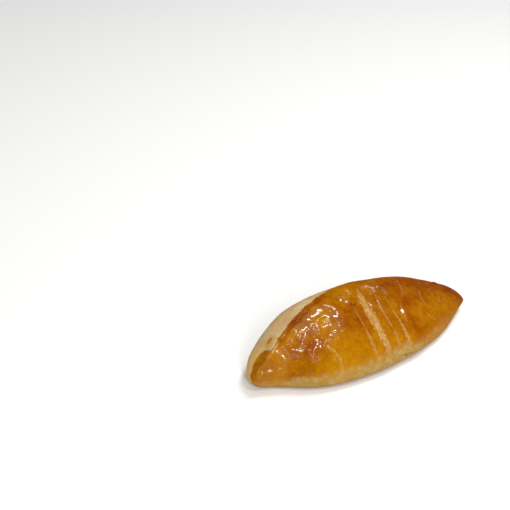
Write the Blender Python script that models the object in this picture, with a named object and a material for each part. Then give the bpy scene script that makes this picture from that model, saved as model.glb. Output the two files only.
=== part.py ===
"""A baked turnover: a boat-shaped pastry of dough folded over its filling and pinched shut.

It lies on its flat base, +Z up. Its long axis is X, with the blunt nose at -X. The glazed front slopes up
from -Y to the crest. The bare side wall, which the glaze didn't reach, drops steeply on +Y.
The origin is the middle of the base. All sizes are in metres.
"""

import math

import bmesh
import bpy
import numpy as np
from mathutils import Vector, noise

MM = 0.001

LENGTH = 130 * MM
HALF = LENGTH / 2

# The form at five stations between the tips, blunt nose first. A station's angle goes from 0 at the nose
# to 180 degrees at the far tip in equal steps, and its place along X is -HALF times the angle's cosine.
FRONT_WIDTHS = np.array((5.4, 19.6, 22.9, 17.4, 5.7)) * MM
BACK_WIDTHS = np.array((14.4, 21.8, 20.8, 16.1, 8.1)) * MM
DOME_HEIGHTS = np.array((13.8, 24.3, 21.7, 15.6, 7.8)) * MM
CREST_OFFSETS = np.array((-1.1, 7.7, 15.3, 14.6, 7.7)) * MM

# The tips: the height of the widest line above the base, and how far each tip stands off the long axis.
NOSE_EDGE_HEIGHT, TAIL_EDGE_HEIGHT = 6.1 * MM, 5.3 * MM
NOSE_OFFSET, TAIL_OFFSET = 1.5 * MM, -0.8 * MM

# Roundness of each arc of a section: 2 is an ellipse, less is flatter, more is squarer.
FRONT_ROUNDNESS, BACK_ROUNDNESS, ROLL_ROUNDNESS = 1.78, 2.4, 2.2
ROLL_INSET = 4.2 * MM
ROLL_SHARE = 0.35
BELLY_SHARE = 0.6

# The four tines of a fork scored the top, and the second score opened widest in the oven.
# Each score has a place along X, a width, a depth, and turns of the section where it starts and ends.
FIRST_SCORE_X, TINE_PITCH = -8.5 * MM, 7.2 * MM
SCORE_SHIFTS = np.array((0.1, 0.1, 0.4, -0.7)) * MM
SCORE_WIDTHS = np.array((1.4, 3.2, 1.4, 1.8)) * MM
SCORE_DEPTHS = np.array((0.4, 0.9, 0.4, 0.6)) * MM
SCORE_STARTS = (0.12, 0.04, 0.18, 0.16)
SCORE_ENDS = (0.86, 1.12, 0.94, 1.02)
SCORE_FADE = 0.14
# Across a score, as shares of its width: the valley's reach, and the place and reach of its raised lips.
VALLEY_REACH, LIP_PLACE, LIP_REACH = 0.6, 0.85, 0.5
LIP_HEIGHT = 0.3 * MM
# The strokes are bowed: a circle's radius and middle line, and where along X the bow has died away.
BOW_RADIUS, BOW_CENTRE = 78 * MM, -14.5 * MM
BOW_FULL_TO, BOW_NONE_FROM = 20 * MM, 52 * MM

# The glazed flap ends at a seam: on the crest by the nose, and a little down the back further on.
# The wall behind it is set in by a step, which dies away down the wall and at both tips.
SEAM_STEP, SEAM_ROLL, SEAM_ROLL_TURN = 0.7 * MM, 0.45 * MM, 0.08
SEAM_NOSE_TURN, SEAM_TAIL_TURN = 0.95, 1.24
SEAM_FALL_START, SEAM_FALL_END = -50 * MM, 26 * MM
SEAM_NONE_BEFORE, SEAM_FULL_FROM, SEAM_FULL_TO, SEAM_NONE_AFTER = -58.5 * MM, -52 * MM, 49 * MM, 62.5 * MM
STEP_FULL_TURNS, STEP_NONE_TURNS = 0.3, 0.9

# Blisters under the glaze, and a small nub on the crest: place along X and Y, radius and height.
BLISTERS = (
    np.array(
        (
            (-43.0, -3.2, 4.2, 0.9),
            (-37.5, 1.8, 4.4, 0.8),
            (-35.6, -6.4, 4.6, 1.1),
            (-29.6, 3.6, 4.8, 1.0),
            (-27.6, -9.0, 4.4, 1.0),
            (-26.4, -2.2, 4.0, 0.7),
            (-20.6, 1.6, 5.0, 1.1),
            (-21.6, -6.2, 4.4, 0.9),
            (-45.2, -8.6, 4.4, 0.8),
            (-50.5, -4.6, 4.2, 0.7),
            (54.0, 8.6, 2.6, 0.8),
        )
    )
    * MM
)

# The fold pinched over the blunt nose: a crease down the nose, with a small raised flap behind it.
NOSE_FOLD_START, NOSE_FOLD_FULL, NOSE_FOLD_END = -53.5 * MM, -56.5 * MM, -64.8 * MM
CREASE_Y, CREASE_WIDTH, CREASE_DEPTH = -0.6 * MM, 1.6 * MM, 0.9 * MM
FLAP_Y, FLAP_WIDTH, FLAP_HEIGHT = 1.8 * MM, 2.2 * MM, 0.8 * MM

# Hand-shaped unevenness of the dough, and of the rim of the base.
UNEVEN_HEIGHT, UNEVEN_LENGTH = 0.4 * MM, 16 * MM
RIM_HEIGHT, RIM_LENGTH = 0.9 * MM, 13 * MM
UNEVEN_SEED, RIM_SEED = Vector((3.1, 7.7, 1.9)), Vector((8.3, 0.4, 5.2))
RIM_REACH = 0.6

# Where relief fades out: in turns from the front and back edges, and along X before each tip.
FRONT_FADE, BACK_FADE, TIP_FADE = 0.1, 0.2, 1.5 * MM

# How finely the solid is drawn.
STATION_PITCH, STATION_GAP, TIP_STATIONS = 2.0 * MM, 0.75 * MM, 9
SCORE_PROFILE = (-0.85, -0.5, -0.2, 0.2, 0.5, 0.85)
FRONT_STEPS, BACK_STEPS, ROLL_STEPS, BASE_STEPS = 26, 10, 3, 3
LIP_TURNS = (0.0, 0.008, 0.04)

CRUST_COLOUR = (0.45, 0.16, 0.01, 1.0)
CRUST_ROUGHNESS = 0.3


def clear_scene():
    for obj in list(bpy.data.objects):
        bpy.data.objects.remove(obj, do_unlink=True)


def crust_material():
    material = bpy.data.materials.new("egg-washed crust")
    material.use_nodes = True
    shader = material.node_tree.nodes["Principled BSDF"]
    shader.inputs["Base Color"].default_value = CRUST_COLOUR
    shader.inputs["Roughness"].default_value = CRUST_ROUGHNESS
    shader.inputs["Metallic"].default_value = 0.0
    return material


def smooth_step(low, high, value):
    share = np.clip((value - low) / (high - low), 0.0, 1.0)
    return share * share * (3 - 2 * share)


def bump(distance, width):
    """A soft round rise of 1 at no distance, which has died away at one width."""
    return np.clip(1 - (distance / width) ** 2, 0.0, 1.0) ** 2


def through_stations(first, middle, last, angle):
    """A smooth curve through values that stand at equal angles from 0 to 180 degrees."""
    values = np.concatenate(((first,), middle, (last,)))
    before, after = 2 * values[0] - values[1], 2 * values[-1] - values[-2]
    padded = np.concatenate(((before,), values, (after,)))
    place = np.clip(angle / math.pi * (len(values) - 1), 0, len(values) - 1 - 1e-9)
    index = place.astype(int)
    share = place - index
    a, b, c, d = (padded[index + k] for k in range(4))
    bend = (2 * a - 5 * b + 4 * c - d) * share**2
    twist = (3 * b - a - 3 * c + d) * share**3
    return 0.5 * (2 * b + (c - a) * share + bend + twist)


def score_places():
    return FIRST_SCORE_X + TINE_PITCH * np.arange(len(SCORE_WIDTHS)) + SCORE_SHIFTS


def station_places():
    """Places along X of the sections: even, closer at the tips, and set to each score's profile."""
    tip_angles = np.radians(np.linspace(0, 45, TIP_STATIONS + 1)[1:])
    tips = HALF * np.cos(tip_angles)
    middle = np.arange(-tips[-1], tips[-1], STATION_PITCH)[1:]
    plain = np.concatenate((-tips, middle, tips))
    scores = [x + part * width for x, width in zip(score_places(), SCORE_WIDTHS) for part in SCORE_PROFILE]
    free = [x for x in plain if min(abs(x - score) for score in scores) > STATION_GAP]
    return np.array(sorted(free + scores))


def seam_turns(places):
    fall = smooth_step(SEAM_FALL_START, SEAM_FALL_END, places)
    return SEAM_NOSE_TURN + (SEAM_TAIL_TURN - SEAM_NOSE_TURN) * fall


def section_turns(places):
    """Turns round each section: 0 front edge, 1 crest, 2 back edge, 3 far rim and 4 near rim of the base."""
    seam = seam_turns(places)[:, None]
    rows = np.ones_like(seam)
    glazed = seam * np.linspace(0, 1, FRONT_STEPS + 1)[:-1]
    lip = seam + np.array(LIP_TURNS)
    below_lip = lip[:, -1:]
    wall = below_lip + (2 - below_lip) * np.linspace(0, 1, BACK_STEPS + 1)[1:-1]
    far_roll = rows * (2 + np.linspace(0, 1, ROLL_STEPS + 1)[:-1])
    base = rows * (3 + np.linspace(0, 1, BASE_STEPS + 1)[:-1])
    near_roll = rows * (4 + np.linspace(0, 1, ROLL_STEPS + 1)[:-1])
    return np.concatenate((glazed, lip, wall, far_roll, base, near_roll), axis=1)


def plain_form(places, turn):
    """The smooth form as a grid of points, one row a section."""
    angle = np.arccos(-places / HALF)[:, None]
    along = (places[:, None] + HALF) / LENGTH
    front = through_stations(0, FRONT_WIDTHS, 0, angle)
    back = through_stations(0, BACK_WIDTHS, 0, angle)
    dome = through_stations(0, DOME_HEIGHTS, 0, angle)
    crest = through_stations(NOSE_OFFSET, CREST_OFFSETS, TAIL_OFFSET, angle)
    axis = NOSE_OFFSET + (TAIL_OFFSET - NOSE_OFFSET) * along
    edge_height = NOSE_EDGE_HEIGHT + (TAIL_EDGE_HEIGHT - NOSE_EDGE_HEIGHT) * along
    belly = edge_height - np.minimum(edge_height, dome * BELLY_SHARE)
    front_edge, back_edge = axis - front, axis + back
    inset = np.minimum(ROLL_INSET, ROLL_SHARE * (front + back))

    quarter = np.clip(turn.astype(int), 0, 4)
    swing = (turn - quarter) * math.pi / 2
    rise, run = np.abs(np.sin(swing)), np.abs(np.cos(swing))
    lean, wall, roll = 2 / FRONT_ROUNDNESS, 2 / BACK_ROUNDNESS, 2 / ROLL_ROUNDNESS
    y = (
        crest + (front_edge - crest) * run**lean,
        crest + (back_edge - crest) * rise**wall,
        back_edge - inset * (1 - run**roll),
        back_edge - inset + (front_edge - back_edge + 2 * inset) * (turn - quarter),
        front_edge + inset * (1 - rise**roll),
    )
    z = (
        edge_height + dome * rise**lean,
        edge_height + dome * run**wall,
        belly + (edge_height - belly) * (1 - rise**roll),
        belly + 0 * turn,
        belly + (edge_height - belly) * (1 - run**roll),
    )
    x = places[:, None] + 0 * turn
    return np.stack((x, np.choose(quarter, y), np.choose(quarter, z)), axis=-1)


def bow_scores(points, turn):
    """Bends the middle sections so that they follow the fork's slightly curved strokes."""
    stroke = (points[..., 1] - BOW_CENTRE) ** 2 / (2 * BOW_RADIUS)
    over_top = smooth_step(0.0, 0.25, turn) * (1 - smooth_step(1.0, 1.6, turn))
    near_scores = 1 - smooth_step(BOW_FULL_TO, BOW_NONE_FROM, np.abs(points[..., 0]))
    points[..., 0] += stroke * over_top * near_scores
    return points


def outward_normals(points):
    along = np.gradient(points, axis=0)
    around = np.roll(points, -1, axis=1) - np.roll(points, 1, axis=1)
    normals = np.cross(around, along)
    lengths = np.linalg.norm(normals, axis=-1, keepdims=True)
    return normals / np.maximum(lengths, 1e-12)


def score_relief(places, turn):
    relief = np.zeros(turn.shape)
    scores = zip(score_places(), SCORE_WIDTHS, SCORE_DEPTHS, SCORE_STARTS, SCORE_ENDS)
    for x, width, depth, start, end in scores:
        offset = np.abs(places - x)[:, None]
        valley = -depth * bump(offset, VALLEY_REACH * width)
        lip = LIP_HEIGHT * bump(offset - LIP_PLACE * width, LIP_REACH * width)
        fade_in = smooth_step(start, start + SCORE_FADE, turn)
        fade_out = 1 - smooth_step(end - SCORE_FADE, end, turn)
        relief += (valley + lip) * fade_in * fade_out
    return relief


def seam_relief(places, turn):
    past = turn - seam_turns(places)[:, None]
    down_wall = 1 - smooth_step(STEP_FULL_TURNS, STEP_NONE_TURNS, past)
    step = -SEAM_STEP * smooth_step(0.0, LIP_TURNS[1], past) * down_wall
    roll = SEAM_ROLL * bump(past, SEAM_ROLL_TURN) * (past < LIP_TURNS[1] / 2)
    from_nose = smooth_step(SEAM_NONE_BEFORE, SEAM_FULL_FROM, places)
    to_tail = 1 - smooth_step(SEAM_FULL_TO, SEAM_NONE_AFTER, places)
    return (step + roll) * (from_nose * to_tail)[:, None]


def blister_relief(points):
    relief = np.zeros(points.shape[:2])
    for x, y, radius, height in BLISTERS:
        distance = np.hypot(points[..., 0] - x, points[..., 1] - y)
        relief += height * bump(distance, radius)
    return relief


def nose_relief(points):
    over_nose = 1 - smooth_step(NOSE_FOLD_FULL, NOSE_FOLD_START, points[..., 0])
    off_tip = smooth_step(NOSE_FOLD_END, NOSE_FOLD_END + 2 * MM, points[..., 0])
    crease = -CREASE_DEPTH * bump(points[..., 1] - CREASE_Y, CREASE_WIDTH)
    flap = FLAP_HEIGHT * bump(points[..., 1] - FLAP_Y, FLAP_WIDTH)
    return (crease + flap) * over_nose * off_tip


def noise_over(points, length, seed):
    """Smooth noise between about -1 and 1 that changes over the given length."""
    values = [noise.noise(Vector(point) / length + seed) for point in points.reshape(-1, 3)]
    return np.array(values).reshape(points.shape[:2])


def turnover_form():
    """Every point of the pastry's skin, section by section, with its relief pushed out along the normals."""
    places = station_places()
    turn = section_turns(places)
    points = bow_scores(plain_form(places, turn), turn)
    clear_of_base = smooth_step(0.0, FRONT_FADE, turn) * (1 - smooth_step(2 - BACK_FADE, 2, turn))
    clear_of_tips = smooth_step(0.0, TIP_FADE, HALF - np.abs(places))[:, None]
    relief = score_relief(places, turn) + seam_relief(places, turn)
    relief += blister_relief(points) + nose_relief(points)
    relief += UNEVEN_HEIGHT * noise_over(points, UNEVEN_LENGTH, UNEVEN_SEED)
    relief *= clear_of_base * clear_of_tips
    rim = bump(np.mod(turn + 2, 5) - 2, RIM_REACH) + bump(turn - 2, RIM_REACH)
    relief += RIM_HEIGHT * noise_over(points, RIM_LENGTH, RIM_SEED) * rim * clear_of_tips
    points += outward_normals(points) * relief[..., None]
    points[..., 2] = np.maximum(points[..., 2], 0.0)
    return points


def loft(name, sections, nose, tail):
    """Bridges the sections into one closed skin and closes it at the nose and the tail."""
    shape = bmesh.new()
    rings = []
    for section in sections:
        verts = [shape.verts.new(point) for point in section]
        rings.append([shape.edges.new((verts[k - 1], verts[k])) for k in range(len(verts))])
    for ring, following in zip(rings, rings[1:]):
        bmesh.ops.bridge_loops(shape, edges=ring + following)
    for ring, point in ((rings[0], nose), (rings[-1], tail)):
        pole = shape.verts.new(point)
        for edge in ring:
            shape.faces.new((edge.verts[0], edge.verts[1], pole))
    bmesh.ops.recalc_face_normals(shape, faces=shape.faces)
    mesh = bpy.data.meshes.new(name)
    shape.to_mesh(mesh)
    shape.free()
    mesh.shade_smooth()
    obj = bpy.data.objects.new(name, mesh)
    bpy.context.scene.collection.objects.link(obj)
    return obj


def make_turnover():
    sections = turnover_form()
    middle = (sections[..., 1].min() + sections[..., 1].max()) / 2
    sections[..., 1] -= middle
    nose = (-HALF, NOSE_OFFSET - middle, NOSE_EDGE_HEIGHT)
    tail = (HALF, TAIL_OFFSET - middle, TAIL_EDGE_HEIGHT)
    turnover = loft("turnover", sections, nose, tail)
    turnover.data.materials.append(crust_material())


def main():
    clear_scene()
    make_turnover()


main()
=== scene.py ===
"""Finishes a baked turnover: risen crust, opened fork scores, egg wash, bare dough, and a plain stage.

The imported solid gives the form. A copy of it is rounded, blistered and cracked as the oven left it, and
each finish on the crust is painted where the brush, the heat and the fork left it. Lengths are in metres.
"""

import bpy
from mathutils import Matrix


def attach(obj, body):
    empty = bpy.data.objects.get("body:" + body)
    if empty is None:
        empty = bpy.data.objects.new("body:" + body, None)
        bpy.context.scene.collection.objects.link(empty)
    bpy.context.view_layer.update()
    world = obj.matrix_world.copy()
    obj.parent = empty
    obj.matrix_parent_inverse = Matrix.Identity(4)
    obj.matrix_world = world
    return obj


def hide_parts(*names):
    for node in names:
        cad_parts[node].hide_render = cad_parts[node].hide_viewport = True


bl_info = {
    "name": "Egg-washed Turnover",
    "version": (1, 0, 0),
    "blender": (4, 5, 0),
    "location": "3D View > Sidebar > Turnover",
    "description": "Bakes the crust of a turnover onto its packed solid and sets it on a plain stage",
    "category": "Add Mesh",
}

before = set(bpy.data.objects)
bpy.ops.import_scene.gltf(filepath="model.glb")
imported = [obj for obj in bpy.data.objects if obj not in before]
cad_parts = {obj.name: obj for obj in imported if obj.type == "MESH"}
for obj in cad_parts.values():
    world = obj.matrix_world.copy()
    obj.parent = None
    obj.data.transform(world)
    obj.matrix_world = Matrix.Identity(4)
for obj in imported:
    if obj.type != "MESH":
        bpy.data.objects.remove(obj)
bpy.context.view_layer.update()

import math

import bpy
import numpy as np
from bpy.props import FloatProperty, FloatVectorProperty, PointerProperty
from bpy.types import Operator, Panel, PropertyGroup
from mathutils import Matrix, Vector

NODE = "turnover"
BODY = "root"
MM = 0.001

# The solid's triangles are joined where they lie this close, and halved this often to round them. Relief
# that weighs less than the least isn't pressed.
MERGE_DISTANCE, ROUNDING_LEVELS = 0.01 * MM, 2
LEAST_WEIGHT = 0.002

# The edge of the egg wash, from nose to tail along the crest: place along X, across Y and height.
WASH_EDGE = (
    np.array(
        (
            (-65.2, 1.4, 5.0),
            (-64.3, 2.9, 9.7),
            (-62.8, 3.9, 12.6),
            (-61.3, 4.4, 14.5),
            (-59.1, 4.4, 17.0),
            (-57.3, 3.7, 18.5),
            (-56.1, 2.3, 19.4),
            (-55.7, -1.4, 21.0),
            (-53.7, -1.1, 21.6),
            (-49.6, 0.4, 23.6),
            (-45.6, 1.8, 25.6),
            (-39.1, 4.3, 27.7),
            (-27.3, 8.3, 29.9),
            (-15.4, 12.7, 29.4),
            (-4.4, 15.8, 27.9),
            (5.3, 17.3, 26.1),
            (14.7, 17.5, 24.3),
            (24.1, 16.8, 22.4),
            (32.8, 15.5, 20.2),
            (40.9, 13.4, 17.8),
            (49.6, 10.2, 14.7),
            (56.2, 7.8, 12.2),
            (61.1, 5.2, 9.7),
            (63.0, 3.6, 8.6),
            (65.2, -0.6, 4.8),
        )
    )
    * MM
)

# How steeply the bare wall meets that edge and how far in front of it the wall may start. Both change
# from the nose to the tail, each over its own span of X.
WALL_LEAN_NOSE, WALL_LEAN_TAIL = math.radians(40), math.radians(72)
WALL_REACH_NOSE, WALL_REACH = 0.5 * MM, 4 * MM
WALL_LEAN_SPAN, WALL_REACH_SPAN = (-20 * MM, 20 * MM), (-50 * MM, -36 * MM)

# The fork's strokes lie on bowed lines. Each has its foot on X, then places along Y with half its width
# there and how pale it opened.
STROKE_RADIUS, STROKE_CENTRE = 78 * MM, -14.7 * MM
STROKES = (
    (-8.4, ((-22.5, 1.2, 0.4), (-19, 1.0, 0.55), (-14, 0.8, 0.55), (-8, 0.6, 0.45), (-2, 0.5, 0.45),
            (1.5, 0.4, 0))),
    (
        -1.2,
        (
            (-22.8, 1.2, 0.5),
            (-20.6, 1.5, 0.85),
            (-18, 1.9, 0.95),
            (-15, 2.1, 1),
            (-9, 2.1, 1),
            (-2.6, 2.1, 1),
            (3.5, 1.9, 1),
            (6.9, 1.4, 0.8),
            (9, 0.8, 0.5),
            (11.5, 0.5, 0),
        ),
    ),
    (6.3, ((-20.7, 0.7, 0.4), (-16, 0.7, 0.5), (-14, 0.5, 0.3), (-12, 0.6, 0.5), (-3, 0.6, 0.6),
           (2, 0.5, 0))),
    (12.4, ((-22, 1.3, 0.45), (-19, 1.3, 0.7), (-16, 1.2, 0.7), (-13, 0.8, 0.55), (-5, 0.5, 0.45),
            (4.5, 0.4, 0))),
)

# A faint score or crack opened less than a pale one, and so breaks up. An opening has this depth in its
# middle, a half at its edge and 1 at most, and shows on skin that faces up and was washed.
FAINT = 0.45
OPEN_MIDDLE = 1.5
OPEN_FACING, OPEN_OVERRUN = (-0.1, 0.2), 0.5 * MM

# Fine cracks and worn spots in the glaze: half the width, how pale, and places.
CRACKS = (
    (0.5, 0.35, ((29.5, 11.7, 22.5), (28.2, 6.9, 21.9), (25.5, 2.1, 21.4), (22.5, -0.8, 21.1),
                 (19.5, -3.3, 20.7))),
    (0.6, 0.42, ((19.5, -3.3, 20.7), (18.0, -7.1, 19.3), (17.2, -9.7, 18.1), (16.4, -12.3, 16.9))),
    (0.6, 0.3, ((36.7, 2.7, 18.8), (35.2, -0.6, 18.2), (34.0, -3.7, 17.3), (34.2, -6.7, 15.9))),
    (0.6, 0.36, ((31.5, -10.7, 14.4), (32.4, -12.9, 12.9), (34.3, -13.8, 11.8))),
    (0.6, 0.28, ((48.3, 1.0, 14.9), (46.1, -2.3, 14.4), (44.8, -4.6, 13.8))),
    (0.7, 0.6, ((-31.5, -12.1, 20.8), (-30.5, -13.1, 19.9), (-29.6, -14.3, 18.8), (-28.7, -15.5, 17.5))),
    (0.8, 0.45, ((-28.7, -15.5, 17.5), (-27.8, -17.3, 15.0), (-27.7, -18.8, 11.6), (-28.2, -19.7, 8.8))),
    (0.6, 0.6, ((-57.8, -1.0, 19.2), (-59.4, -1.0, 18.0), (-62.2, -0.6, 14.8), (-64.0, 0.6, 11.2))),
    (1.3, 0.5, ((-2.2, 11.3, 28.2), (-2.7, 9.0, 27.9))),
    (1.2, 0.5, ((7.4, 11.6, 26.8), (10.6, 11.2, 26.1))),
    (1.0, 0.45, ((-8.0, 4.5, 27.7), (-7.8, 7.3, 28.4))),
)

# Folds and wrinkles of the blistered skin: height as a share of a full fold, half the width, and
# places. A crease has a negative height.
FOLDS = (
    (0.25, 1.2, ((-35.6, 1.3, 28.1), (-33.4, 1.8, 28.9), (-30.4, 2.6, 28.8), (-28.4, 2.6, 28.9),
                 (-26.1, 3.5, 29.7))),
    (0.25, 1.2, ((-27.9, 6.0, 29.8), (-26.6, 5.4, 30.0), (-25.8, 4.0, 29.8))),
    (0.25, 1.6, ((-21.5, 6.1, 30.0), (-19.1, 5.3, 29.6), (-18.2, 3.5, 28.8), (-18.1, 1.5, 28.0),
                 (-18.2, -0.2, 27.6))),
    (0.2, 1.2, ((-24.2, 3.2, 29.6), (-20.3, 3.7, 28.8))),
    (0.25, 1.5, ((-23.5, -0.7, 28.0), (-20.8, -1.1, 27.4), (-19.1, -2.7, 27.0))),
    (0.3, 0.9, ((-10.4, 7.6, 28.9), (-10.5, 5.8, 28.5))),
    (0.3, 0.9, ((-8.3, 4.6, 27.8), (-8.1, 3.6, 27.4))),
    (0.3, 1.2, ((-42.9, 0.1, 26.5), (-42.6, -1.1, 25.7), (-42.2, -3.0, 24.2), (-41.3, -4.7, 23.7),
                (-39.8, -5.3, 24.4))),
    (0.25, 1.1, ((-39.8, -5.3, 24.4), (-37.7, -4.0, 25.6))),
    (0.25, 1.0, ((-40.9, 0.3, 27.0), (-40.1, -1.6, 26.4), (-38.8, -2.8, 26.3), (-37.1, -2.2, 27.0))),
    (0.2, 0.9, ((-39.0, 1.2, 27.4), (-37.0, 0.7, 27.6), (-37.7, -1.2, 27.1))),
    (0.25, 1.1, ((-34.5, -2.1, 27.6), (-34.7, -3.3, 26.7), (-34.8, -4.5, 25.5), (-35.3, -5.0, 24.8))),
    (0.35, 1.3, ((-24.7, -6.3, 25.2), (-22.4, -5.9, 24.8), (-21.1, -6.9, 24.2))),
    (0.3, 0.8, ((-25.6, -8.3, 23.6), (-23.7, -9.0, 23.6))),
    (0.4, 1.0, ((-27.6, -9.1, 22.6), (-25.0, -9.5, 23.0))),
    (0.35, 0.9, ((-30.8, -10.8, 21.9), (-28.8, -10.7, 21.8))),
    (0.4, 0.9, ((-32.8, -11.6, 20.9), (-31.1, -12.5, 20.5))),
    (0.3, 1.1, ((-36.0, -8.1, 22.5), (-35.4, -9.3, 22.0), (-36.6, -10.2, 21.0))),
    (0.25, 0.9, ((-34.3, -9.8, 22.1), (-34.7, -10.9, 21.1))),
    (0.45, 0.9, ((-41.5, -6.0, 22.9), (-42.6, -6.7, 21.6), (-44.0, -6.6, 20.4))),
    (0.35, 0.8, ((-43.9, -5.9, 21.4), (-42.3, -7.2, 21.1))),
    (0.4, 0.9, ((-48.8, -2.7, 22.2), (-47.3, -3.2, 22.6), (-46.0, -3.7, 22.9))),
    (0.3, 0.9, ((-47.4, -4.8, 20.5), (-45.9, -6.0, 20.2), (-43.6, -7.5, 19.4))),
    (0.2, 1.0, ((-32.1, -4.6, 26.5), (-33.0, -6.1, 24.9))),
    (0.25, 1.0, ((-29.1, -5.7, 25.9), (-26.9, -5.4, 26.0))),
    (0.6, 0.9, ((-63.3, -1.9, 10.0), (-61.3, -2.3, 11.0), (-59.4, -2.8, 11.1), (-57.2, -3.6, 11.3),
                (-53.3, -5.3, 12.1))),
    (0.2, 1.0, ((-52.8, -2.8, 20.1), (-51.4, -4.1, 18.6), (-51.0, -5.2, 16.8), (-51.0, -6.1, 14.5))),
    (-0.35, 0.8, ((-56.1, -0.9, 20.3), (-59.4, -1.0, 18.0), (-62.2, -0.6, 14.8), (-64.0, 0.6, 11.2))),
    (0.9, 0.8, ((51.6, 8.2, 14.7), (53.4, 7.8, 14.2))),
    (0.25, 1.0, ((9.2, 11.4, 26.4), (11.9, 9.2, 25.4), (14.6, 9.4, 25.0))),
    (0.25, 0.9, ((11.5, 7.1, 24.9), (8.4, 6.4, 25.3))),
    (0.25, 0.9, ((16.9, 7.4, 24.6), (16.2, 4.2, 23.6))),
    (0.4, 0.8, ((8.0, 1.3, 24.4), (7.9, -0.9, 23.8), (7.9, -3.3, 22.8))),
    (0.3, 0.8, ((18.0, -7.1, 19.3), (17.4, -9.0, 18.4))),
    (0.25, 0.8, ((3.6, 1.4, 24.7), (3.0, 0.2, 24.4))),
    (0.25, 0.8, ((2.6, -4.9, 22.9), (2.1, -6.0, 22.4))),
)

# Small blisters that catch the light, each as wide and as high as the next.
BLISTER_RADIUS, BLISTER_HEIGHT = 0.9 * MM, 0.28 * MM
BLISTERS = (
    (11.9, 9.2, 25.4),
    (15.1, 10.0, 25.0),
    (11.5, 7.1, 24.9),
    (8.4, 6.4, 25.3),
    (17.3, 7.2, 24.0),
    (16.5, 4.5, 23.4),
    (30.1, 11.6, 22.4),
    (28.2, 6.9, 21.9),
    (3.3, 1.5, 24.6),
    (3.5, -0.6, 24.0),
    (2.7, -4.9, 22.6),
    (43.8, 2.7, 16.8),
    (-2.2, 11.3, 28.2),
    (-8.0, 4.5, 27.7),
    (-7.8, 7.3, 28.4),
    (7.9, 1.1, 24.3),
    (7.6, -0.9, 23.8),
    (18.8, -6.1, 19.6),
)

# The folds were placed by the light that they catch, so their crests lie a little behind it, and the
# skin rises over a wider strip than the one that shines.
FOLD_SHIFT = np.array((0.4, 0.5, 0.1)) * MM
FOLD_SPREAD = 1.7

# The wash pooled along the folds and on the blisters, and left a thin coat between them.
THIN_WASH = 0.08
POOL_SPREAD = 1.6
BEAD_GLOSS, BEAD_SPREAD = 0.7, 1.4

# Where the wash dried in a thick glassy coat: place on X and Y, reach along each, gloss, and how
# crumpled. It is even up to a share of its reach, and fades out beyond.
GLOSS_EVEN = 0.55
GLOSSY = (
    (-31.5, -3.2, 19.5, 12.5, 1.0, 1.0),
    (12.5, 8.5, 8.5, 6.5, 0.8, 1.0),
    (7.8, -1.2, 3.0, 5.0, 0.9, 0.4),
    (17.6, -8.4, 2.5, 3.5, 0.9, 0.3),
    (-57.5, -4.5, 11.0, 7.5, 1.0, 0.2),
    (-9.0, 5.4, 4.0, 4.0, 0.9, 0.5),
)

# Where the crust browned more, and where it stayed golden: place on X and Y, radius, and how much.
EVEN_BROWN = 0.61
BROWNED = (
    (-42.0, -9.0, 9.0, 0.16),
    (-37.0, 3.0, 9.0, 0.08),
    (-36.0, -11.0, 7.5, 0.2),
    (-48.5, -7.0, 6.0, 0.1),
    (-53.0, -9.5, 8.25, -0.1),
    (-27.5, -12.5, 9.0, 0.18),
    (-42.5, -1.5, 8.25, -0.2),
    (-46.0, -15.0, 9.0, -0.16),
    (57.5, 5.5, 7.5, 0.1),
    (-34.0, -17.0, 12.0, -0.2),
    (-10.0, -1.0, 12.0, 0.08),
    (20.0, 8.0, 13.5, 0.12),
    (-15.0, -9.5, 13.5, 0.16),
    (38.0, 7.0, 18.0, 0.14),
    (60.5, 1.0, 10.5, 0.24),
    (24.0, -2.5, 9.0, 0.16),
    (10.0, -12.5, 6.75, 0.14),
    (21.0, -14.0, 7.5, 0.1),
    (-57.0, -3.0, 13.5, -0.15),
    (-27.5, -3.0, 10.5, -0.18),
    (-20.0, -18.5, 16.5, -0.3),
    (-5.0, -20.0, 13.5, -0.13),
    (7.0, -20.0, 10.5, -0.15),
    (25.4, -8.4, 6.0, -0.08),
    (-4.0, 11.5, 7.5, -0.22),
    (8.5, 11.5, 5.25, -0.15),
)

# The flap's edge browned along a rim from the nose to the scores, and the crest browned behind them.
RIM_BROWN, RIM_MIDDLE, RIM_RADIUS = 0.2, 0.6 * MM, 2 * MM
RIM_START, RIM_END = (-54 * MM, -48 * MM), (-27 * MM, -10 * MM)
CREST_BROWN, CREST_DEPTH, CREST_START = 0.1, (2 * MM, 8 * MM), (-8 * MM, 12 * MM)

# How high the pale foot of the crust reaches: place along X and height, in millimetres.
FOOT_TOP = (
    (-65, 5.8),
    (-57, 5.7),
    (-53, 5.8),
    (-49, 6.6),
    (-43, 8.4),
    (-34, 10),
    (-28, 10.4),
    (-23, 9.8),
    (-17, 9.6),
    (-12, 10.2),
    (-6, 10.7),
    (2, 10.4),
    (14, 9.8),
    (22, 8.3),
    (30, 8.6),
    (37, 9.4),
    (46, 8),
    (52, 8),
    (58, 7.3),
    (65, 6),
)

# The foot fades out over a height, more slowly toward the tail, where a little wash reached it too.
FOOT_FADE, FOOT_FADE_TAIL, FOOT_FADE_SPAN = 4.8 * MM, 1.8 * MM, (16 * MM, 40 * MM)
FOOT_WASHED, FOOT_WASHED_SPAN = 0.3, (28 * MM, 58 * MM)

# The nose and the tail are spans of X. The low wall and the base go by height and by facing down.
NOSE_SPAN, TAIL_SPAN = (-62 * MM, -52 * MM), (12 * MM, 34 * MM)
LOW_SPAN, BASE_SPAN, BASE_FACING = (1 * MM, 16 * MM), (0, 1.1 * MM), (-0.9, -0.35)

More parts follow.
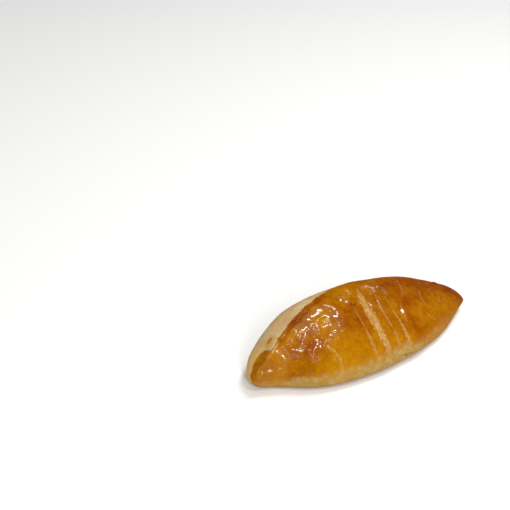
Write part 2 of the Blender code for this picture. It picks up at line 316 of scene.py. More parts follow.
# Where the relief sets in: across the wash's edge, by height, and by how far and pale a crack opened.
WASH_RIM, OFF_BASE = (-0.2 * MM, 0.6 * MM), (0.2 * MM, 1.2 * MM)
SWELL_SPAN, WALL_SPAN = (1 * MM, 5 * MM), (2 * MM, 7 * MM)
CRACK_OPEN, CRACK_PALE = (0.4, 1.0), (0.6, 0.9)

# The noise that raises each relief: the size of its bumps, and how much finer noise is in it.
CLOUDS = {
    "dough swell": (9 * MM, 2),
    "dry dough": (5 * MM, 2),
    "risen lumps": (5.5 * MM, 0),
    "glaze crumples": (2.4 * MM, 2),
    "glaze wrinkles": (1.2 * MM, 2),
    "score crumb": (1.0 * MM, 2),
    "uneven foot": (3.2 * MM, 2),
    "drip": (1.4 * MM, 2),
}

# What is painted on the crust, point by point, for its material.
PAINTED = ("wash_mm", "foot", "opened", "opened_pale", "browning", "gloss", "nick", "nose", "halo", "low",
           "tail", "underside")

# Patterns in the crust: size, detail, roughness, and how they are drawn out along X, Y and Z. Flour and
# orange peel are finer in the real thing, and are drawn as coarse as they need to be to show.
PATTERNS = {
    "broad": (11 * MM, 3.0, 0.55, (1, 1, 1)),
    "mottle": (3.2 * MM, 4.0, 0.55, (1, 1, 1)),
    "fine": (1.1 * MM, 3.0, 0.6, (1, 1, 1)),
    "fibres": (0.9 * MM, 4.0, 0.65, (1, 0.4, 0.5)),
    "peel": (0.9 * MM, 2.0, 0.5, (1, 1, 1)),
    "grain": (0.5 * MM, 4.0, 0.65, (1, 1, 1)),
}

# Where each finish lies: what it follows, from none to all, its most, and the patterns that ruffle it.
SHARES = {
    "wash": ("wash_mm", -0.25, 0.25, 1.0, (("mottle", 1.7), ("fine", 0.9))),
    "foot": ("foot", 0.25, 1.0, 0.94, (("mottle", 1.0), ("broad", 0.8), ("fine", 0.5))),
    "score": ("opened", 0.25, 0.8, 0.96, (("fibres", 2.0), ("mottle", 0.7))),
    "heat": ("browning", -0.25, 1.25, 1.0, (("broad", 0.5), ("mottle", 0.6), ("fine", 0.6))),
    "nick": ("nick", 0.0, 0.5, 1.0, (("fine", 0.8),)),
    "halo": ("halo", 0.0, 0.8, 0.6, (("mottle", 1.2), ("fine", 0.8))),
    # At the nose the wall is warmer and lighter: partly its own tone, partly painted light on its end.
    "nose wall tone and light": ("nose", 0.0, 1.0, 0.7, (("mottle", 1.2),)),
    "low wall": ("low", 0.0, 1.0, 0.6, (("mottle", 1.6), ("broad", 1.2))),
    "tail foot": ("tail", 0.0, 1.0, 0.9, (("mottle", 0.8),)),
    "underside": ("underside", 0.0, 1.0, 1.0, ()),
    "floury": ("mottle", 0.42, 0.6, 1.0, (("fine", 0.9),)),
    "warm": ("broad", 0.45, 0.62, 0.5, (("mottle", 0.4),)),
    "specks": ("grain", 0.5, 0.66, 0.6, ()),
    "foot blotches": ("mottle", 0.4, 0.65, 0.5, (("fine", 0.8),)),
    # The crumb's streaks are partly its tone, partly painted highlight on tips and painted shade in
    # hollows.
    "crumb tips tone and highlight": ("fibres", 0.5, 0.62, 0.8, ()),
    "crumb hollows tone and shade": ("fibres", 0.5, 0.36, 0.5, (("fine", 0.6),)),
    "freckles": ("grain", 0.5, 0.7, 0.4, ()),
    # The glints are painted highlights: light straw specks standing in for the glaze's fine sparkle.
    "painted glints": ("fine", 0.5, 0.7, 0.3, ()),
    "scorched": ("mottle", 0.3, 0.75, 1.0, ()),
}

# The colours of the browned egg, from the least heat to the most.
BROWNING = ((0.05, "straw"), (0.3, "gold"), (0.55, "amber"), (0.8, "chestnut"), (1.0, "umber"))

# The coats of colour: each one's name, its ground, and what is laid over it, by share and colour.
LAYERS = (
    (
        "dry dough",
        "dough",
        (("floury", "flour"), ("warm", "torn"), ("low wall", "warm_dough_and_light"), ("specks", "torn")),
    ),
    # The warm dough at the nose is partly painted light on the nose's end.
    ("wall", "dry dough", (("nose wall tone and light", "warm_dough_and_light"), ("halo", "straw"))),
    # The crumb's pale tips and gold hollows are partly painted highlight and painted shade.
    ("crumb", "torn", (("crumb tips tone and highlight", "crumb_tips"), ("crumb hollows tone and shade", "gold"))),
    ("dry foot", "toasted", (("foot blotches", "dough"), ("tail foot", "blushed"), ("specks", "gold"))),
    # On the egg, the straw glints are painted highlights, and the chestnut freckles are its own colour.
    ("egg", "browned egg", (("painted glints", "straw"), ("freckles", "chestnut"))),
    # The scorch colour on the nicks is also painted shade along the foot's lip.
    ("crust", "egg", (("foot", "dry foot"), ("score", "crumb"), ("nick", "scorch_and_shade"))),
    ("tray side", "base", (("scorched", "amber"),)),
    ("skin", "wall", (("wash", "crust"), ("underside", "tray side"))),
)

# How rough the dry dough, the thin wash and the pooled wash are, and how much the mottle changes that.
DRY_ROUGH, THIN_ROUGH, POOLED_ROUGH, ROUGH_MOTTLE = 0.8, 0.5, 0.3, 0.2
# Dried egg has nearly no shine of its own. The coat that pooled on it is hard and glassy.
EGG_IOR, EGG_SHINE, EGG_TINT = 1.45, 0.015, "#e6b36a"
POOLED_COAT, COAT_ROUGH, COAT_IOR = 0.95, 0.07, 1.95
GRAIN_STRENGTH, GRAIN_HEIGHT = 0.6, 0.22 * MM

# The drop of leaked filling lies along the bare wall, flat and a little longer than its ends, in a halo.
LEAK_ENDS = (Vector((-54.2, 4.2, 22.0)) * MM, Vector((-51.9, 4.2, 23.3)) * MM)
LEAK_RADIUS, LEAK_LONGER, LEAK_FLAT, LEAK_UNEVEN = 1.0 * MM, 0.6, 0.4, 0.5 * MM
LEAK_BLOTCH, LEAK_ROUGH, LEAK_SHINE = 0.8 * MM, 0.35, 0.3
HALO_RADIUS = 4.4 * MM

# Small scorched nicks: one torn in the crust and one on the crest near the tail. The third is a dark line
# along the lip of the foot, partly a scorched edge and partly painted shade of the gap under the lifted
# foot. Each has half its width and its places.
NICKS_AND_SHADE_LINE = (
    (0.9, ((-6.7, 2.2, 27.1), (-4.4, 2.0, 26.3))),
    (1.0, ((51.2, 7.6, 14.7), (53.6, 7.2, 14.2))),
    (0.8, ((9.0, -22.0, 4.9), (12.5, -21.9, 4.2), (16.0, -21.5, 3.6))),
)

# The softboxes all face the pastry: name, place, size and the setting that holds the power.
SOFTBOXES = (
    ("overhead softbox", (0.38, 0.05, 0.8), (0.19, 0.31), "key_power"),
    ("ceiling softbox", (0.06, -0.32, 0.84), (0.15, 0.15), "ceiling_power"),
    ("window softbox", (-0.28, -0.68, 0.42), (0.14, 0.42), "window_power"),
    ("left fill", (-1.3, 0.2, 1.0), (1.6, 1.6), "left_power"),
    ("front fill", (-0.3, -1.5, 0.75), (2.0, 1.3), "front_power"),
)
PAPER_ROUGH, PAPER_SHINE = 0.9, 0.1

# The camera stands where the photograph was taken, and looks past the pastry as it did.
VIEW_AZIMUTH, VIEW_ELEVATION = math.radians(-40.3), math.radians(35)
VIEW_DISTANCE, VIEW_LENS, VIEW_NEAREST = 557 * MM, 79.8, 10 * MM
VIEW_CENTRE = Vector((0.0, -0.2, 13.0)) * MM
AIM_RIGHT, AIM_UP = -55.9 * MM, 31.4 * MM


def to_linear(hex_colour):
    """Turns an sRGB hex colour into the linear values that Blender's sockets take."""
    parts = [int(hex_colour[k : k + 2], 16) / 255 for k in (1, 3, 5)]
    return tuple(p / 12.92 if p <= 0.04045 else ((p + 0.055) / 1.055) ** 2.4 for p in parts)


def colour_property(name, description, hex_colour):
    linear = to_linear(hex_colour)
    return FloatVectorProperty(
        name=name, description=description, subtype="COLOR", size=3, min=0, max=1, default=linear
    )


def length_property(name, description, length):
    return FloatProperty(
        name=name, description=description, unit="LENGTH", precision=5, min=0, default=length
    )


def power_property(name, description, power):
    return FloatProperty(name=name, description=description, unit="POWER", min=0, default=power)


class CrustSizes(PropertyGroup):
    folds: length_property("Folds", "Height of a full fold in the blistered skin", 1.25 * MM)
    crumples: length_property("Crumples", "Height of the crumples between the folds", 0.38 * MM)
    lumps: length_property("Lumps", "Height of the risen lumps under the folds", 0.8 * MM)
    wrinkles: length_property("Wrinkles", "Height of the finest wrinkles in the glaze", 0.3 * MM)
    swell: length_property("Swell", "Height of the dough's gentle unevenness", 0.5 * MM)
    crumb: length_property("Crumb", "Height of the crumb inside the opened scores", 0.8 * MM)
    cracks: length_property("Cracks", "Depth of the fine cracks", 0.15 * MM)
    nick: length_property("Nick", "Depth of the scorched nicks", 0.5 * MM)
    wall: length_property("Wall", "Height of the unevenness of the dry wall", 0.5 * MM)
    foot: length_property("Foot", "Height of the unevenness along the foot", 0.5 * MM)


class CrustColours(PropertyGroup):
    straw: colour_property("Straw", "Egg wash where it took the least heat", "#b5851c")
    gold: colour_property("Gold", "Egg wash where it stayed golden", "#a87107")
    amber: colour_property("Amber", "Egg wash over most of the crust", "#985d02")
    chestnut: colour_property("Chestnut", "Egg wash along the crest and the tail", "#813b00")
    umber: colour_property("Umber", "Egg wash in creases and on the tip", "#5f2602")
    # The scorch colour also lays painted shade along the foot's lip, on the third nick.
    scorch_and_shade: colour_property("Scorch", "Nicks, where the heat caught them", "#6e2a08")
    dough: colour_property("Bare dough", "Dry dough that the brush didn't reach", "#b79f74")
    # Warm dough is the real tone low on the wall; at the nose it is also painted light.
    warm_dough_and_light: colour_property("Warm dough", "Bare dough low on the wall and at the nose", "#cda35a")
    flour: colour_property("Floury dough", "The palest of the dry dough", "#c3b28f")
    toasted: colour_property("Toasted dough", "Dry dough along the foot", "#9f8143")
    blushed: colour_property("Blushed dough", "Dry dough along the foot by the tail", "#a67738")
    torn: colour_property("Torn crumb", "The inside of the dough where the scores opened", "#ad8149")
    # The palest crumb is partly painted highlight on the tips of the torn crumb.
    crumb_tips: colour_property("Crumb tips", "The palest of the torn crumb", "#c69d63")
    base: colour_property("Base", "The underside, baked on the tray", "#94652b")
    leak: colour_property("Leak", "Filling that leaked and caramelised", "#a8610c")


class StageSettings(PropertyGroup):
    floor_size: length_property("Floor", "Side of the square floor", 6.0)
    floor: colour_property("Floor colour", "Plain pale floor", "#efefed")
    key_power: power_property("Key", "Power of the softbox above the tail", 3.8)
    ceiling_power: power_property("Ceiling", "Power of the small softbox above the front", 1.4)
    window_power: power_property("Window", "Power of the tall softbox before the nose", 3.9)
    left_power: power_property("Left fill", "Power of the broad softbox on the left", 1.9)
    front_power: power_property("Front fill", "Power of the broad softbox in front", 1.3)
    sky: FloatProperty(name="Room", description="Strength of the room's even light", min=0, default=0.45)


def deselect_all():
    if bpy.context.object and bpy.context.object.mode != "OBJECT":
        bpy.ops.object.mode_set(mode="OBJECT")
    bpy.ops.object.select_all(action="DESELECT")


def pick(piece):
    deselect_all()
    piece.select_set(True)
    bpy.context.view_layer.objects.active = piece


def ease(low, high, value):
    """0 below low, 1 above high, and smooth between them."""
    share = np.clip((value - low) / (high - low), 0.0, 1.0)
    return share * share * (3 - 2 * share)


def hill(distance, radius):
    """1 at no distance, and smoothly 0 from one radius on."""
    return np.clip(1 - (distance / radius) ** 2, 0.0, 1.0) ** 2


def vertex_places(piece):
    places = np.empty(len(piece.data.vertices) * 3, np.float32)
    piece.data.vertices.foreach_get("co", places)
    return places.reshape(-1, 3).astype(float)


def vertex_normals(piece):
    normals = np.empty(len(piece.data.vertices) * 3, np.float32)
    piece.data.vertex_normals.foreach_get("vector", normals)
    return normals.reshape(-1, 3).astype(float)


def line_distance(places, line):
    """Distance from each place to a line of straight runs, whose points are in millimetres."""
    nearest = np.full(len(places), np.inf)
    points = np.array(line, float) * MM
    for start, end in zip(points, points[1:]):
        run = end - start
        share = np.clip((places - start) @ run / (run @ run), 0, 1)
        nearest = np.minimum(nearest, np.linalg.norm(places - start - share[:, None] * run, axis=1))
    return nearest


def max_over(amounts):
    return np.maximum.reduce(list(amounts))


def inside_wash(places):
    """How far inside the edge of the egg wash each place lies; negative on the bare wall."""
    x, y, z = places.T
    edge_y = np.interp(x, WASH_EDGE[:, 0], WASH_EDGE[:, 1])
    edge_z = np.interp(x, WASH_EDGE[:, 0], WASH_EDGE[:, 2])
    lean = WALL_LEAN_NOSE + (WALL_LEAN_TAIL - WALL_LEAN_NOSE) * ease(*WALL_LEAN_SPAN, x)
    reach = WALL_REACH_NOSE + (WALL_REACH - WALL_REACH_NOSE) * ease(*WALL_REACH_SPAN, x)
    past = (y - edge_y) * np.cos(lean) + (edge_z - z) * np.sin(lean)
    return -np.minimum(past, y - edge_y + reach)


def opened(places, normals):
    """Where the crust opened at the scores and cracks, a half at their edges, and how pale it opened."""
    amount, pale = np.zeros(len(places)), np.zeros(len(places))
    bow = (places[:, 1] - STROKE_CENTRE) ** 2 / (2 * STROKE_RADIUS)
    front = ease(*OPEN_FACING, normals[:, 2]) * (inside_wash(places) > -OPEN_OVERRUN)
    shapes = []
    for foot, stations in STROKES:
        y, width, strength = np.array(stations, float).T
        offset = np.abs(places[:, 0] - foot * MM - bow)
        half = np.interp(places[:, 1], y * MM, width * MM)
        strengths = np.interp(places[:, 1], y * MM, strength, left=0.0, right=0.0)
        shapes.append((OPEN_MIDDLE - offset / half, strengths))
    for half, strength, line in CRACKS:
        shape = OPEN_MIDDLE - line_distance(places, line) / (half * MM)
        shapes.append((shape, np.full(len(places), strength)))
    for shape, strength in shapes:
        shape = np.clip(shape, 0, 1) * (FAINT + (1 - FAINT) * strength) * front * (strength > 0)
        wider = shape > amount
        amount[wider], pale[wider] = shape[wider], strength[wider]
    return amount, pale


def glossy(places, crumpled=False):
    """How glassy the wash dried, or how crumpled the skin under it is."""
    amount = np.zeros(len(places))
    for x, y, reach_x, reach_y, gloss, crumple in GLOSSY:
        offsets = (places[:, :2] - np.array((x, y)) * MM) / (np.array((reach_x, reach_y)) * MM)
        reach = np.hypot(*offsets.T)
        amount = np.maximum(amount, (crumple if crumpled else gloss) * (1 - ease(GLOSS_EVEN, 1.0, reach)))
    return amount


def over_folds(places, spread, even=False):
    """How high the folds stand over each place, or with even, how near they are: 1 on a crest."""
    places = places - FOLD_SHIFT
    return max_over(
        (1 if even else height) * hill(line_distance(places, line), half * spread * MM)
        for height, half, line in FOLDS
        if height > 0
    )


def blister_distance(places):
    middles = np.array(BLISTERS) * MM
    return np.minimum.reduce([np.linalg.norm(places - middle, axis=1) for middle in middles])


def pooled(places):
    """How thick the wash dried: it pools on the blisters, and on the folds of the glossy zones."""
    thick = over_folds(places, POOL_SPREAD, even=True)
    beads = BEAD_GLOSS * hill(blister_distance(places), BEAD_SPREAD * BLISTER_RADIUS)
    return np.maximum(glossy(places) * (THIN_WASH + (1 - THIN_WASH) * thick), beads)


def footed(places):
    """How pale the foot of the crust is: 1 low down, where the brush didn't reach."""
    along, height = places[:, 0], places[:, 2]
    top = np.interp(along, *(np.array(FOOT_TOP).T * MM))
    fade = FOOT_FADE + FOOT_FADE_TAIL * ease(*FOOT_FADE_SPAN, along)
    bare = 1 - ease(-1.0, 1.0, (height - top) / fade)
    return bare * (1 - FOOT_WASHED * ease(*FOOT_WASHED_SPAN, along))


def browned(places):
    amount = np.full(len(places), EVEN_BROWN)
    for x, y, radius, more in BROWNED:
        distance = np.hypot(places[:, 0] - x * MM, places[:, 1] - y * MM)
        amount += more * hill(distance, radius * MM)
    along, inside = places[:, 0], inside_wash(places)
    rim = hill(inside - RIM_MIDDLE, RIM_RADIUS) * ease(*RIM_START, along) * (1 - ease(*RIM_END, along))
    crest = (1 - ease(*CREST_DEPTH, inside)) * ease(*CREST_START, along)
    return np.clip(amount + RIM_BROWN * rim + CREST_BROWN * crest, 0, 1)


# The nicks, and the dark line along the foot's lip that is partly painted shade.
def nicks_and_shade_line(places):
    return max_over(hill(line_distance(places, line), half * MM) for half, line in NICKS_AND_SHADE_LINE)


def weigh(piece, name, weights):
    """Gives the piece a vertex group with these weights."""
    group = piece.vertex_groups.new(name=name)
    for index in np.flatnonzero(weights > LEAST_WEIGHT):
        group.add((int(index),), float(min(weights[index], 1.0)), "REPLACE")
    return group.name


def press(piece, name, weights, height, texture=None):
    """Pushes the skin out where weighted, by height, or by a texture around that texture's middle."""
    pick(piece)
    modifier = piece.modifiers.new(name, "DISPLACE")
    modifier.vertex_group = weigh(piece, name, weights)
    modifier.strength = height
    modifier.mid_level = 0.0
    if texture:
        modifier.texture = texture
        modifier.texture_coords = "LOCAL"
        modifier.mid_level = 0.5
    bpy.ops.object.modifier_apply(modifier=name)
    piece.vertex_groups.remove(piece.vertex_groups[name])


def cloud(name):
    texture = bpy.data.textures.new(name, "CLOUDS")
    texture.noise_scale, texture.noise_depth = CLOUDS[name]
    texture.noise_basis = "ORIGINAL_PERLIN"
    texture.noise_type = "SOFT_NOISE"
    return texture


def paint(piece, name, values):
    """Keeps one number for each vertex, which the materials read by this name."""
    attribute = piece.data.attributes.new(name, "FLOAT", "POINT")
    attribute.data.foreach_set("value", values.astype(np.float32))


def crust_from_solid():
    """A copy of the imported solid: its loose triangles merged, turned to quads and rounded."""
    deselect_all()
    piece = bpy.data.objects.new("baked_crust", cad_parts[NODE].data.copy())
    bpy.context.scene.collection.objects.link(piece)
    pick(piece)
    bpy.ops.object.mode_set(mode="EDIT")
    bpy.ops.mesh.select_all(action="SELECT")
    bpy.ops.mesh.remove_doubles(threshold=MERGE_DISTANCE)
    bpy.ops.mesh.tris_convert_to_quads(face_threshold=math.pi, shape_threshold=math.pi)
    bpy.ops.object.mode_set(mode="OBJECT")
    piece.data.materials.clear()
    rounding = piece.modifiers.new("rounding", "SUBSURF")
    rounding.levels = rounding.render_levels = ROUNDING_LEVELS
    bpy.ops.object.modifier_apply(modifier=rounding.name)
    bpy.ops.object.shade_smooth()
    return piece


def raise_relief(piece, sizes):
    """Folds, crumples, crumb, cracks and the uneven foot, pressed into the skin one after another."""
    places, normals = vertex_places(piece), vertex_normals(piece)
    height = places[:, 2]
    washed = ease(*WASH_RIM, inside_wash(places))
    off_base = ease(*OFF_BASE, height)
    wall = (1 - washed) * ease(*WALL_SPAN, height)
    shape, pale = opened(places, normals)
    cracked = ease(*CRACK_OPEN, shape) * (1 - ease(*CRACK_PALE, pale))
    creases = max_over(
        -depth * hill(line_distance(places, line), half * FOLD_SPREAD * MM)
        for depth, half, line in FOLDS
        if depth < 0
    )
    blisters = hill(blister_distance(places), BLISTER_RADIUS)
    crumpled = glossy(places, crumpled=True) * washed * off_base
    press(piece, "swell", ease(*SWELL_SPAN, height), sizes.swell, cloud("dough swell"))
    press(piece, "wall", wall, sizes.wall, cloud("dry dough"))
    press(piece, "folds", over_folds(places, FOLD_SPREAD) * washed, sizes.folds)
    press(piece, "creases", creases * washed, -sizes.folds)
    press(piece, "blisters", blisters * washed, BLISTER_HEIGHT)
    press(piece, "lumps", crumpled, sizes.lumps, cloud("risen lumps"))
    press(piece, "crumples", crumpled, sizes.crumples, cloud("glaze crumples"))
    press(piece, "wrinkles", crumpled, sizes.wrinkles, cloud("glaze wrinkles"))
    press(piece, "crumb", shape * pale, sizes.crumb, cloud("score crumb"))
    press(piece, "cracks", cracked, -sizes.cracks)
    press(piece, "nick", nicks_and_shade_line(places), -sizes.nick)
    press(piece, "foot", footed(places) * off_base, sizes.foot, cloud("uneven foot"))


def paint_finish(piece):
    """The places that the crust's material reads, each a number at every vertex."""
    places, normals = vertex_places(piece), vertex_normals(piece)
    shape, pale = opened(places, normals)
    facing_down = 1 - ease(*BASE_FACING, normals[:, 2])
    at_base = 1 - ease(*BASE_SPAN, places[:, 2])
    paint(piece, "wash_mm", inside_wash(places) / MM)
    paint(piece, "foot", footed(places))
    paint(piece, "opened", shape)
    paint(piece, "opened_pale", pale)
    paint(piece, "browning", browned(places))
    paint(piece, "gloss", pooled(places))
    paint(piece, "nick", nicks_and_shade_line(places))
    paint(piece, "nose", 1 - ease(*NOSE_SPAN, places[:, 0]))
    paint(piece, "halo", hill(line_distance(places, [end / MM for end in LEAK_ENDS]), HALO_RADIUS))
    paint(piece, "low", 1 - ease(*LOW_SPAN, places[:, 2]))
    paint(piece, "tail", ease(*TAIL_SPAN, places[:, 0]))
    paint(piece, "underside", np.maximum(facing_down, at_base))


def add_node(tree, kind, inputs=None, **settings):
    """Adds a node with its settings; inputs maps a socket to a value or to the output that feeds it."""
    node = tree.nodes.new(kind)
    for name, value in settings.items():
        setattr(node, name, value)
    for socket, value in (inputs or {}).items():
        if isinstance(value, bpy.types.NodeSocket):
            tree.links.new(value, node.inputs[socket])
        else:
            node.inputs[socket].default_value = value
    return node


def crust_finish(colours):
    """Yeast-raised dough brushed with beaten egg and baked on a tray."""
    # Where the egg lay, the crust has a thin amber skin, glassy where it pooled in the blistered part.
    # Where the brush stopped it is dry, floury and pale, and inside the scores it is torn crumb.
    material = bpy.data.materials.new("Egg-washed baked dough")
    material.use_nodes = True
    tree = material.node_tree
    shader = tree.nodes["Principled BSDF"]
    place = add_node(tree, "ShaderNodeTexCoord").outputs["Object"]
    painted = {}
    for name in PAINTED:
        painted[name] = add_node(tree, "ShaderNodeAttribute", attribute_name=name).outputs["Fac"]
    for name, (size, detail, roughness, stretch) in PATTERNS.items():
        drawn = add_node(tree, "ShaderNodeMapping", {"Vector": place, "Scale": stretch}).outputs["Vector"]
        inputs = {"Vector": drawn, "Scale": 1 / size, "Detail": detail, "Roughness": roughness}
        painted[name] = add_node(tree, "ShaderNodeTexNoise", inputs).outputs["Fac"]

    share = {}
    for name, (source, low, high, most, ruffles) in SHARES.items():
        value = painted[source]
        for pattern, amount in ruffles:
            inputs = {0: painted[pattern], 1: amount, 2: value}
            value = add_node(tree, "ShaderNodeMath", inputs, operation="MULTIPLY_ADD").outputs[0]
            low, high = low + amount / 2, high + amount / 2
        inputs = {"Value": value, "From Min": low, "From Max": high, "To Max": most}
        mapped = add_node(tree, "ShaderNodeMapRange", inputs, interpolation_type="SMOOTHSTEP")
        share[name] = mapped.outputs[0]
    inputs = {0: share["score"], 1: painted["opened_pale"]}
    share["score"] = add_node(tree, "ShaderNodeMath", inputs, operation="MULTIPLY").outputs[0]

    # Browning goes from straw through amber to umber.
    coloured = {name: (*getattr(colours, name), 1) for name in colours.__annotations__}
    browning = add_node(tree, "ShaderNodeValToRGB", {"Fac": share["heat"]})
    stops = browning.color_ramp.elements
    while len(stops) < len(BROWNING):
        stops.new(0.5)
    for stop, (position, name) in zip(stops, BROWNING):
        stop.position, stop.color = position, coloured[name]
    coloured["browned egg"] = browning.outputs["Color"]

    for name, ground, coats in LAYERS:
        colour = coloured[ground]
        for part, coat in coats:
            inputs = {0: share[part], 6: colour, 7: coloured[coat]}
            colour = add_node(tree, "ShaderNodeMix", inputs, data_type="RGBA").outputs[2]
        coloured[name] = colour
    tree.links.new(coloured["skin"], shader.inputs["Base Color"])

    # The wash shines most where it pooled, and the foot, the scores and the underside are dry.
    dry = share["foot"]
    for part in ("score", "underside"):
        dry = add_node(tree, "ShaderNodeMath", {0: dry, 1: share[part]}, operation="MAXIMUM").outputs[0]
    lost = add_node(tree, "ShaderNodeMath", {0: share["wash"], 1: dry}, operation="MULTIPLY").outputs[0]
    shine = add_node(tree, "ShaderNodeMath", {0: share["wash"], 1: lost}, operation="SUBTRACT").outputs[0]
    thin_rough = THIN_ROUGH - ROUGH_MOTTLE / 2
    pooled_rough = POOLED_ROUGH - ROUGH_MOTTLE / 2
    inputs = {"Value": painted["gloss"], "To Min": thin_rough, "To Max": pooled_rough}
    even = add_node(tree, "ShaderNodeMapRange", inputs).outputs[0]
    inputs = {0: painted["mottle"], 1: ROUGH_MOTTLE, 2: even}
    uneven = add_node(tree, "ShaderNodeMath", inputs, operation="MULTIPLY_ADD").outputs[0]
    inputs = {0: shine, 2: DRY_ROUGH, 3: uneven}
    rough = add_node(tree, "ShaderNodeMix", inputs, data_type="FLOAT").outputs[0]
    tree.links.new(rough, shader.inputs["Roughness"])
    shader.inputs["IOR"].default_value = EGG_IOR
    shader.inputs["Specular IOR Level"].default_value = EGG_SHINE
    shader.inputs["Specular Tint"].default_value = (*to_linear(EGG_TINT), 1)
    inputs = {0: painted["gloss"], 1: shine}
    glassy = add_node(tree, "ShaderNodeMath", inputs, operation="MULTIPLY").outputs[0]
    coat = add_node(tree, "ShaderNodeMath", {0: glassy, 1: POOLED_COAT}, operation="MULTIPLY").outputs[0]
    tree.links.new(coat, shader.inputs["Coat Weight"])
    shader.inputs["Coat Roughness"].default_value = COAT_ROUGH
    shader.inputs["Coat IOR"].default_value = COAT_IOR

    # Orange peel in the wash and floury grain on dry dough, both drawn coarser than they are, to show.
    inputs = {0: shine, 2: painted["grain"], 3: painted["peel"]}
    height = add_node(tree, "ShaderNodeMix", inputs, data_type="FLOAT").outputs[0]
    inputs = {"Height": height, "Strength": GRAIN_STRENGTH, "Distance": GRAIN_HEIGHT}
    relief = add_node(tree, "ShaderNodeBump", inputs).outputs["Normal"]
    tree.links.new(relief, shader.inputs["Normal"])
    return material


def leak_finish(colours):
    """Filling that boiled out through the wall and set."""
    # Burnt sugar and juice: orange-brown, clear and glassy, blotched darker where it is thick.
    material = bpy.data.materials.new("Caramelised filling")
    material.use_nodes = True
    tree = material.node_tree
    shader = tree.nodes["Principled BSDF"]
    place = add_node(tree, "ShaderNodeTexCoord").outputs["Object"]
    inputs = {"Vector": place, "Scale": 1 / LEAK_BLOTCH}
    blotch = add_node(tree, "ShaderNodeTexNoise", inputs).outputs["Fac"]
    inputs = {0: blotch, 6: (*colours.leak, 1), 7: (*colours.amber, 1)}
    colour = add_node(tree, "ShaderNodeMix", inputs, data_type="RGBA").outputs[2]
    tree.links.new(colour, shader.inputs["Base Color"])
    shader.inputs["Roughness"].default_value = LEAK_ROUGH
    shader.inputs["Specular IOR Level"].default_value = LEAK_SHINE
    return material


def floor_finish(settings):
    """Matt white paper."""
    # Uncoated and even, with no shine, so that only the shadow shows on it.
    material = bpy.data.materials.new("Matt paper")
    material.use_nodes = True
    shader = material.node_tree.nodes["Principled BSDF"]
    shader.inputs["Base Color"].default_value = (*settings.floor, 1)
    shader.inputs["Roughness"].default_value = PAPER_ROUGH
    shader.inputs["Specular IOR Level"].default_value = PAPER_SHINE
    return material


def view_axes():
    """The camera's back, right and up directions for the photograph's azimuth and elevation."""
    flat = Vector((math.sin(VIEW_AZIMUTH), -math.cos(VIEW_AZIMUTH), 0))
    back = flat * math.cos(VIEW_ELEVATION) + Vector((0, 0, math.sin(VIEW_ELEVATION)))
    right = Vector((math.cos(VIEW_AZIMUTH), math.sin(VIEW_AZIMUTH), 0))
    return back, right, back.cross(right)


def point_at(thing, target):
    thing.rotation_euler = (target - thing.location).to_track_quat("-Z", "Y").to_euler()


def add_softbox(name, place, size, power):
    data = bpy.data.lights.new(name, "AREA")
    data.shape = "RECTANGLE"
    data.size, data.size_y = size
    data.energy = power
    light = bpy.data.objects.new(name, data)
    bpy.context.scene.collection.objects.link(light)
    light.location = place
    point_at(light, VIEW_CENTRE)


class TURNOVER_OT_crust(Operator):
    """Bakes the crust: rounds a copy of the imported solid, raises its relief and paints its finish"""

    bl_idname = "turnover.crust"
    bl_label = "Bake Crust"

    def execute(self, context):
        crust = crust_from_solid()
        raise_relief(crust, context.scene.turnover_sizes)
        paint_finish(crust)
        crust.data.materials.append(crust_finish(context.scene.turnover_colours))
        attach(crust, BODY)
        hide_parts(NODE)
        return {"FINISHED"}


class TURNOVER_OT_leak(Operator):
    """Sets a bead of leaked filling on the bare wall"""

    bl_idname = "turnover.leak"
    bl_label = "Leak Filling"

    def execute(self, context):
        crust = bpy.data.objects.get("baked_crust")
        if crust is None:
            raise RuntimeError("Bake the crust first: the leak lies on it")
        start, end = LEAK_ENDS
        _, place, normal, _ = crust.closest_point_on_mesh((start + end) / 2)
        along = (end - start).normalized()
        across = normal.cross(along).normalized()
        deselect_all()
        bpy.ops.mesh.primitive_ico_sphere_add(subdivisions=4, radius=LEAK_RADIUS, location=place)
        leak = context.object
        leak.name = "leaked_filling"
        leak.rotation_euler = Matrix((across.cross(normal), across, normal)).transposed().to_euler()
        leak.scale = ((end - start).length / (2 * LEAK_RADIUS) + LEAK_LONGER, 1.0, LEAK_FLAT)
        bpy.ops.object.transform_apply(location=True, rotation=True, scale=True)
        press(leak, "drip", np.ones(len(leak.data.vertices)), LEAK_UNEVEN, cloud("drip"))
        pick(leak)
        bpy.ops.object.shade_smooth()
        leak.data.materials.append(leak_finish(context.scene.turnover_colours))
        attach(leak, BODY)
        return {"FINISHED"}


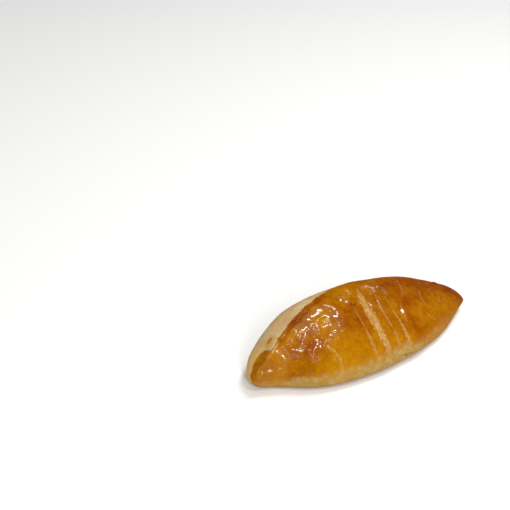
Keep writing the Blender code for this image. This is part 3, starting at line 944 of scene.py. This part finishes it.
class TURNOVER_OT_stage(Operator):
    """Adds a plain pale floor, soft studio light and the photograph's camera"""

    bl_idname = "turnover.stage"
    bl_label = "Set Stage"

    def execute(self, context):
        settings = context.scene.turnover_stage
        deselect_all()
        bpy.ops.mesh.primitive_plane_add(size=settings.floor_size, location=(0, 0, 0))
        floor = context.object
        floor.name = "paper_floor"
        floor.data.materials.append(floor_finish(settings))

        world = bpy.data.worlds.new("Pale room")
        world.use_nodes = True
        world.node_tree.nodes["Background"].inputs["Color"].default_value = (1, 1, 1, 1)
        world.node_tree.nodes["Background"].inputs["Strength"].default_value = settings.sky
        context.scene.world = world

        for name, place, size, setting in SOFTBOXES:
            add_softbox(name, place, size, getattr(settings, setting))

        back, right, up = view_axes()
        camera_data = bpy.data.cameras.new("photograph view")
        camera_data.lens = VIEW_LENS
        camera_data.clip_start = VIEW_NEAREST
        camera = bpy.data.objects.new("photograph view", camera_data)
        context.scene.collection.objects.link(camera)
        camera.location = VIEW_CENTRE + back * VIEW_DISTANCE
        point_at(camera, VIEW_CENTRE + right * AIM_RIGHT + up * AIM_UP)
        context.scene.camera = camera
        context.scene.view_settings.view_transform = "Standard"
        return {"FINISHED"}


class TURNOVER_PT_panel(Panel):
    """Lists the steps that finish the turnover"""

    bl_label = "Turnover"
    bl_idname = "TURNOVER_PT_panel"
    bl_space_type = "VIEW_3D"
    bl_region_type = "UI"
    bl_category = "Turnover"

    def draw(self, context):
        scene = context.scene
        for settings in (scene.turnover_sizes, scene.turnover_colours, scene.turnover_stage):
            column = self.layout.column(align=True)
            for name in settings.__annotations__:
                column.prop(settings, name)
        for operator in OPERATORS:
            self.layout.operator(operator.bl_idname)


SETTINGS = {
    "turnover_sizes": CrustSizes,
    "turnover_colours": CrustColours,
    "turnover_stage": StageSettings,
}
OPERATORS = (TURNOVER_OT_crust, TURNOVER_OT_leak, TURNOVER_OT_stage)


def register():
    for kind in (*SETTINGS.values(), *OPERATORS, TURNOVER_PT_panel):
        bpy.utils.register_class(kind)
    for name, kind in SETTINGS.items():
        setattr(bpy.types.Scene, name, PointerProperty(type=kind))


def unregister():
    for name in SETTINGS:
        delattr(bpy.types.Scene, name)
    for kind in reversed((*SETTINGS.values(), *OPERATORS, TURNOVER_PT_panel)):
        bpy.utils.unregister_class(kind)


def main():
    register()
    bpy.ops.turnover.crust()
    bpy.ops.turnover.leak()
    bpy.ops.turnover.stage()


if __name__ == "__main__":
    main()
